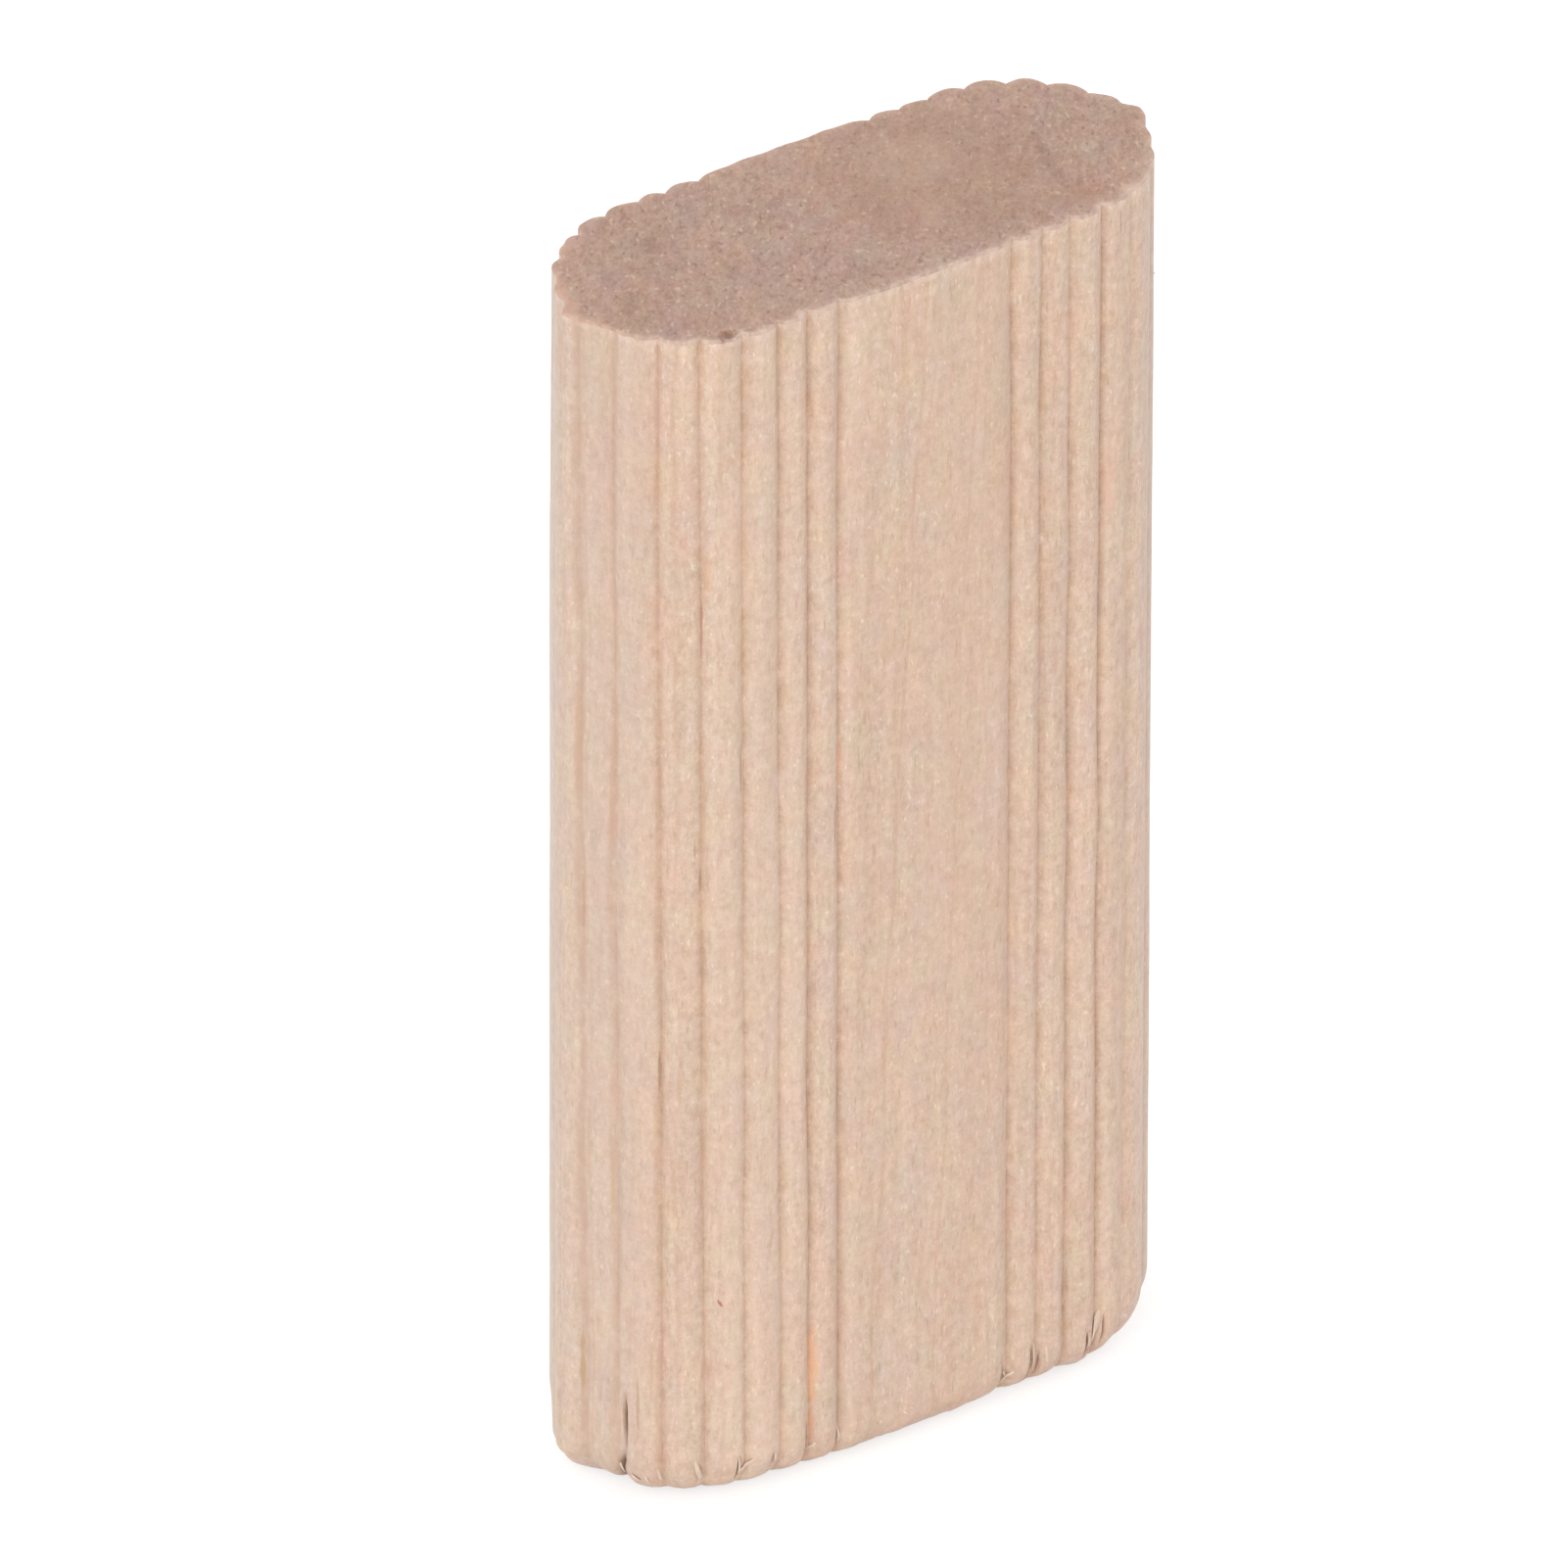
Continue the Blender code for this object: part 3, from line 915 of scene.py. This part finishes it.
def long_grain(colours):
    """Beech along the grain: streaks, flecks, growth lines, and grooves and slits darkened with
    painted shade, the grooves partly bruised too.
    """
    board = Board("beech_long_grain")
    around, up = board.unrolled()
    broad = board.noise(0.35, 0.018, 2.0, 0.55)
    streak = board.noise(1.6, 0.05, 3.0, 0.6, 3.1)
    fibre = board.noise(5.0, 1.0, 2.0, 0.6, 7.7)
    speckle = board.noise(2.5, 2.0, 3.0, 0.95, 1.9)
    chatter = board.noise(0.5, 2.4, 1.0, 0.5, 15.0)
    height_share = up / (NODE_HIGH.z / MM)
    milled = board.clamp(abs(around), 3.3, 4.3, 0.95, 1.15)
    # Painted shade: the long grain grows evenly darker towards the sawn end, in place of the fall
    # of light along the length
    shade = 0.56 - height_share * 0.12 + broad * 0.14 + streak * 0.24 + chatter * 0.07
    shade = shade + (fibre * 0.22 + speckle * 0.64) * milled
    colour = board.blend(board.clamp(shade), colours.tan, colours.pale)

    fleck = board.noise(9.0, 3.6, 0.0, 0.5, 11.0)
    fleck = board.clamp(fleck + streak * 0.3, 0.62, 1.0, 0.0, 0.45)
    colour = board.blend(fleck, colour, FLECK)
    tick = board.noise(9.5, 2.2, 0.0, 0.5, 27.0)
    tick = board.clamp(tick - streak * 0.3, 0.62, 1.0, 0.0, 0.40)
    colour = board.blend(tick, colour, TICK)
    colour = board.hued(colour, 0.054, 0.8, 0.4)

    warmth = board.noise(1.1, 0.06, 2.0, 0.6, 21.0)
    ring = board.clamp(warmth, 0.45, 1.1, 0.0, 0.22)
    colour = board.blend(ring, colour, colours.growth)
    wobble = board.noise(0.2, 0.16, 2.0, 0.6, 41.0)
    broken = board.clamp(board.noise(1.2, 0.7, 3.0, 0.8, 43.0), -0.5, 0.4, 0.25, 1.0)
    for foot, top, half_width, strength in GROWTH_LINES:
        middle = foot + height_share * (top - foot) + wobble * 0.26
        away = abs(around - middle)
        mask = board.clamp(away, half_width * 0.2, half_width * 1.8, 1.0, 0.0, smooth=True)
        colour = board.blend(mask * broken * strength, colour, colours.growth)
    ragged = board.noise(6.0, 1.5, 2.0, 0.6, 51.0)
    colour = board.marked(colour, around, up, FRONT_MARKS, ragged)

    dashes = board.clamp(board.noise(0.8, 0.8, 4.0, 0.90, 61.0), -0.45, 0.55, 0.0, 0.66)
    # Partly painted shade: the groove bottoms darken towards the groove colour, for bruised wood
    # and for shade
    colour = board.blend(board.field("groove") * dashes, colour, colours.groove)
    # Painted shade: the slits darken towards the torn colour by their depth
    torn = board.clamp(board.field("torn"), 0.3, 1.0)
    colour = board.blend(torn * 0.85, colour, colours.torn)
    arris = board.field("arris") * board.clamp(fibre + speckle, -0.5, 0.6, 0.05, 0.40)
    colour = board.blend(arris, colour, WORN)

    roughness = board.clamp(speckle, -1.0, 1.0, 0.62, 0.86)
    height = fibre * 0.6 + speckle * 0.5
    return board.finish(colour, roughness, height, 0.012 * MM)


def end_grain(colours):
    """Beech across the grain: fine pores, faint rays and a pale rim."""
    board = Board("beech_end_grain")
    across, depth = board.parts(board.place(1.0, 0.0))
    pores = board.noise(2.6, 0.0, 3.0, 0.9, 2.0, 0.5)
    fine = board.noise(8.0, 0.0, 1.0, 0.5, 9.0, 0.6)
    cloud = board.noise(0.35, 0.0, 2.0, 0.5, 4.0, 0.7)
    shade = 0.5 + pores * 0.74 + fine * 0.26 + cloud * 0.20
    colour = board.blend(board.clamp(shade), colours.end_dark, colours.end_pale)
    pit = board.clamp(board.noise(5.6, 0.0, 0.0, 0.5, 14.0, 0.5), 0.55, 0.95, 0.0, 0.55)
    colour = board.blend(pit, colour, PIT)
    glint = board.clamp(board.noise(6.4, 0.0, 0.0, 0.5, 19.0, 0.55), 0.55, 0.95, 0.0, 0.52)
    colour = board.blend(glint, colour, GLINT)
    colour = board.hued(colour, 0.066, 0.7, 0.0, 0.6)
    ragged = board.noise(3.0, 0.0, 2.0, 0.7, 51.0)
    colour = board.marked(colour, across, depth, SAWN_MARKS, ragged)
    edge = board.field("edge") * board.clamp(ragged, -0.7, 0.7, 0.10, 0.80)
    rim = board.blend(board.clamp(depth, -4.0, -2.5), FRONT_RIM, BACK_RIM)
    colour = board.blend(edge, colour, rim)
    height = pores * 0.6 + fine * 0.4
    roughness = board.clamp(pores, -1.0, 1.0, 0.75, 0.92)
    return board.finish(colour, roughness, height, 0.02 * MM)


def lifted_fibre(colours):
    """The pale wood of a fibre that has come away."""
    board = Board("beech_lifted_fibre")
    grain = board.noise(6.0, 1.2, 1.0, 0.5)
    share = board.clamp(grain, -1.0, 1.0)
    darker = tuple(0.82 * part for part in colours.fibre)
    colour = board.blend(share, darker, colours.fibre)
    return board.finish(colour, 0.7, grain, 0.005 * MM)


def fibre_surface(sizes):
    """The lifted fibres as stacked tubes of points.

    A fibre runs straight over the unrolled surface from end to end, follows
    the rim by the radius that it has there, and dips into the grooves as a
    parabola. Its width swells as the root of a half sine, and its middle
    stands off as a half sine.
    """
    outline = Outline(sizes)
    table = np.array(FIBRES)
    share = np.linspace(0, 1, FIBRE_POINTS)
    turn = -np.linspace(0, 2 * np.pi, FIBRE_SIDES + 1)[:-1]
    start, end = table[:, 0:2], table[:, 2:4]
    path = start[:, None] + (end - start)[:, None] * share[:, None]
    swell = np.sqrt(np.sin(np.pi * np.clip(share, 0.01, 0.99)))
    half_width = (table[:, 4, None] * swell)[..., None]
    stand = table[:, 5, None] * np.sin(np.pi * share) ** FIBRE_ARCH
    way = (end - start) / np.linalg.norm(end - start, axis=1)[:, None]
    ring = half_width * np.cos(turn)
    thick = FIBRE_THICKNESS * half_width * np.sin(turn)
    around = path[..., None, 0] + way[:, None, None, 1] * ring
    up = path[..., None, 1] - way[:, None, None, 0] * ring
    rim = rim_radius(outline, around)
    on_rim = np.clip(1 - up / rim, 0, 1)
    inset = rim * (1 - np.sqrt(1 - on_rim ** 2))
    grooves, depths, _ = groove_table(outline)
    lines = grooves + groove_drift(outline, grooves, up[..., None] * MM / sizes.length)
    away = np.abs(outline.centred(around[..., None] - lines))
    hollow = np.max(depths * np.clip(1 - away / REED_FLANK, 0, 1) ** 2, axis=-1)
    eased = 1 - (1 - 2 / np.pi * np.arccos(on_rim)) ** 2
    core_x, normal_x, normal_y = outline.frame(around)
    reach = outline.radius - inset - hollow * eased - FIBRE_SINK + stand[..., None] + thick
    points = np.stack([core_x + normal_x * reach, normal_y * reach, up], axis=-1)
    return points * MM


class TENON_OT_body(bpy.types.Operator):
    """Make the reeded body of the tenon in place of the plain solid."""

    bl_idname = "tenon.body"
    bl_label = "Reeded body"

    def execute(self, context):
        sizes, colours = context.scene.tenon_sizes, context.scene.tenon_colours
        points, fields, unrolled, foot_rows, cap_start = body_surface(sizes)
        mesh = closed_skin("tenon_body", points)
        for name, values in fields.items():
            write_field(mesh, name, values)
        write_unrolled(mesh, unrolled, Outline(sizes).round)
        mesh.materials.append(long_grain(colours))
        mesh.materials.append(end_grain(colours))
        columns = points.shape[1]
        row = np.arange(len(mesh.polygons)) // columns
        is_end = (row < foot_rows) | (row >= cap_start - 1)
        mesh.polygons.foreach_set("material_index", is_end.astype(np.int32))
        mesh.set_sharp_from_angle(angle=math.radians(CREASE_ANGLE))
        piece = new_piece("tenon_body", mesh)
        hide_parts("tenon")
        return {"FINISHED"}


class TENON_OT_fibres(bpy.types.Operator):
    """Make the fibres that the press and the saw tore loose."""

    bl_idname = "tenon.fibres"
    bl_label = "Torn fibres"

    def execute(self, context):
        sizes, colours = context.scene.tenon_sizes, context.scene.tenon_colours
        mesh = closed_skin("torn_fibres", fibre_surface(sizes))
        mesh.materials.append(lifted_fibre(colours))
        piece = new_piece("torn_fibres", mesh)
        return {"FINISHED"}


def studio_floor(settings):
    """A wide floor that looks nearly white to the camera and keeps a soft shadow."""
    mesh = bpy.data.meshes.new("floor")
    half, drop = 1.5, 0.02 * MM
    corners = [(-half, -half, 0), (half, -half, 0), (half, half, 0), (-half, half, 0)]
    mesh.from_pydata(corners, [], [(0, 1, 2, 3)])
    floor = bpy.data.objects.new("floor", mesh)
    floor.location.z = -drop
    bpy.context.scene.collection.objects.link(floor)
    board = Board("studio_floor")
    seen = board.node("ShaderNodeLightPath", {}, {}, "Is Camera Ray")
    plain = board.blend(seen, tuple(settings.floor), (0.40, 0.40, 0.40))
    glow = board.blend(seen, (0.0, 0.0, 0.0), (0.70, 0.70, 0.70))
    board.set_shader({
        "Base Color": plain, "Emission Color": glow, "Emission Strength": 1.0,
        "Roughness": 1.0, "Specular IOR Level": 0.0,
    })
    mesh.materials.append(board.material)


def studio_world(settings):
    """Even light from all round, and white where the camera looks past the floor."""
    world = bpy.data.worlds.new("studio")
    world.use_nodes = True
    tree = world.node_tree
    lit, white = tree.nodes["Background"], tree.nodes.new("ShaderNodeBackground")
    for light in (lit, white):
        light.inputs["Color"].default_value = (1.0, 1.0, 1.0, 1.0)
    lit.inputs["Strength"].default_value = settings.sky
    path = tree.nodes.new("ShaderNodeLightPath")
    mixed = tree.nodes.new("ShaderNodeMixShader")
    sources = (path.outputs["Is Camera Ray"], lit.outputs[0], white.outputs[0])
    for source, socket in zip(sources, mixed.inputs):
        tree.links.new(source, socket)
    tree.links.new(mixed.outputs[0], tree.nodes["World Output"].inputs[0])
    bpy.context.scene.world = world


def studio_lamp(name, direction, distance, size, power):
    """A square soft lamp that faces the middle of the tenon."""
    lamp = bpy.data.lights.new(name, "AREA")
    lamp.shape = "SQUARE"
    lamp.size = size
    lamp.energy = power
    holder = bpy.data.objects.new(name, lamp)
    back = Vector(direction).normalized()
    holder.location = CAD_MIDDLE + back * distance
    holder.rotation_euler = (-back).to_track_quat("-Z", "Y").to_euler()
    bpy.context.scene.collection.objects.link(holder)


def studio_camera(settings):
    """The camera of the photograph.

    It looks from the azimuth and elevation at a point a little left of and
    above the middle of the tenon, so that the tenon sits right of the middle.
    """
    right_of_middle, below_middle = 2.395 * MM, 0.432 * MM
    turn, rise = settings.azimuth, settings.elevation
    back = Vector((
        math.sin(turn) * math.cos(rise), -math.cos(turn) * math.cos(rise), math.sin(rise)
    ))
    right = Vector((math.cos(turn), math.sin(turn), 0.0))
    up = back.cross(right)
    aim = CAD_MIDDLE - right * right_of_middle + up * below_middle
    data = bpy.data.cameras.new("camera")
    data.sensor_width = 36.0
    data.lens = data.sensor_width * settings.distance / settings.frame_width
    data.clip_end = 10.0
    camera = bpy.data.objects.new("camera", data)
    axes = Matrix((right, up, back)).transposed().to_4x4()
    camera.matrix_world = Matrix.Translation(aim + back * settings.distance) @ axes
    camera.matrix_world = camera.matrix_world @ Matrix.Rotation(settings.roll, 4, "Z")
    bpy.context.scene.collection.objects.link(camera)
    bpy.context.scene.camera = camera


class TENON_OT_stage(bpy.types.Operator):
    """Make the pale floor, the soft light and the camera."""

    bl_idname = "tenon.stage"
    bl_label = "Studio stage"

    def execute(self, context):
        settings = context.scene.tenon_stage
        context.scene.view_settings.view_transform = "Standard"
        studio_floor(settings)
        studio_world(settings)
        studio_lamp(
            "soft_box", direction=(-1.1, -0.85, 1.05), distance=1.8, size=1.2, power=settings.lamp
        )
        studio_camera(settings)
        return {"FINISHED"}


class TENON_PT_panel(bpy.types.Panel):
    """The tenon's operators and settings in the sidebar."""

    bl_label = "Loose Tenon"
    bl_idname = "TENON_PT_panel"
    bl_space_type = "VIEW_3D"
    bl_region_type = "UI"
    bl_category = "Loose Tenon"

    def draw(self, context):
        for operator in OPERATORS:
            self.layout.operator(operator.bl_idname)
        for setting in GROUPS:
            group = getattr(context.scene, setting)
            for name in group.bl_rna.properties.keys():
                if name not in {"rna_type", "name"}:
                    self.layout.prop(group, name)


GROUPS = {"tenon_sizes": TenonSizes, "tenon_colours": TenonColours, "tenon_stage": StageSettings}
OPERATORS = (TENON_OT_body, TENON_OT_fibres, TENON_OT_stage)
CLASSES = tuple(GROUPS.values()) + OPERATORS + (TENON_PT_panel,)


def register():
    for item in CLASSES:
        bpy.utils.register_class(item)
    for setting, group in GROUPS.items():
        setattr(bpy.types.Scene, setting, PointerProperty(type=group))


def unregister():
    for setting in GROUPS:
        delattr(bpy.types.Scene, setting)
    for item in reversed(CLASSES):
        bpy.utils.unregister_class(item)


def main():
    register()
    bpy.ops.tenon.body()
    bpy.ops.tenon.fibres()
    bpy.ops.tenon.stage()


if __name__ == "__main__":
    main()
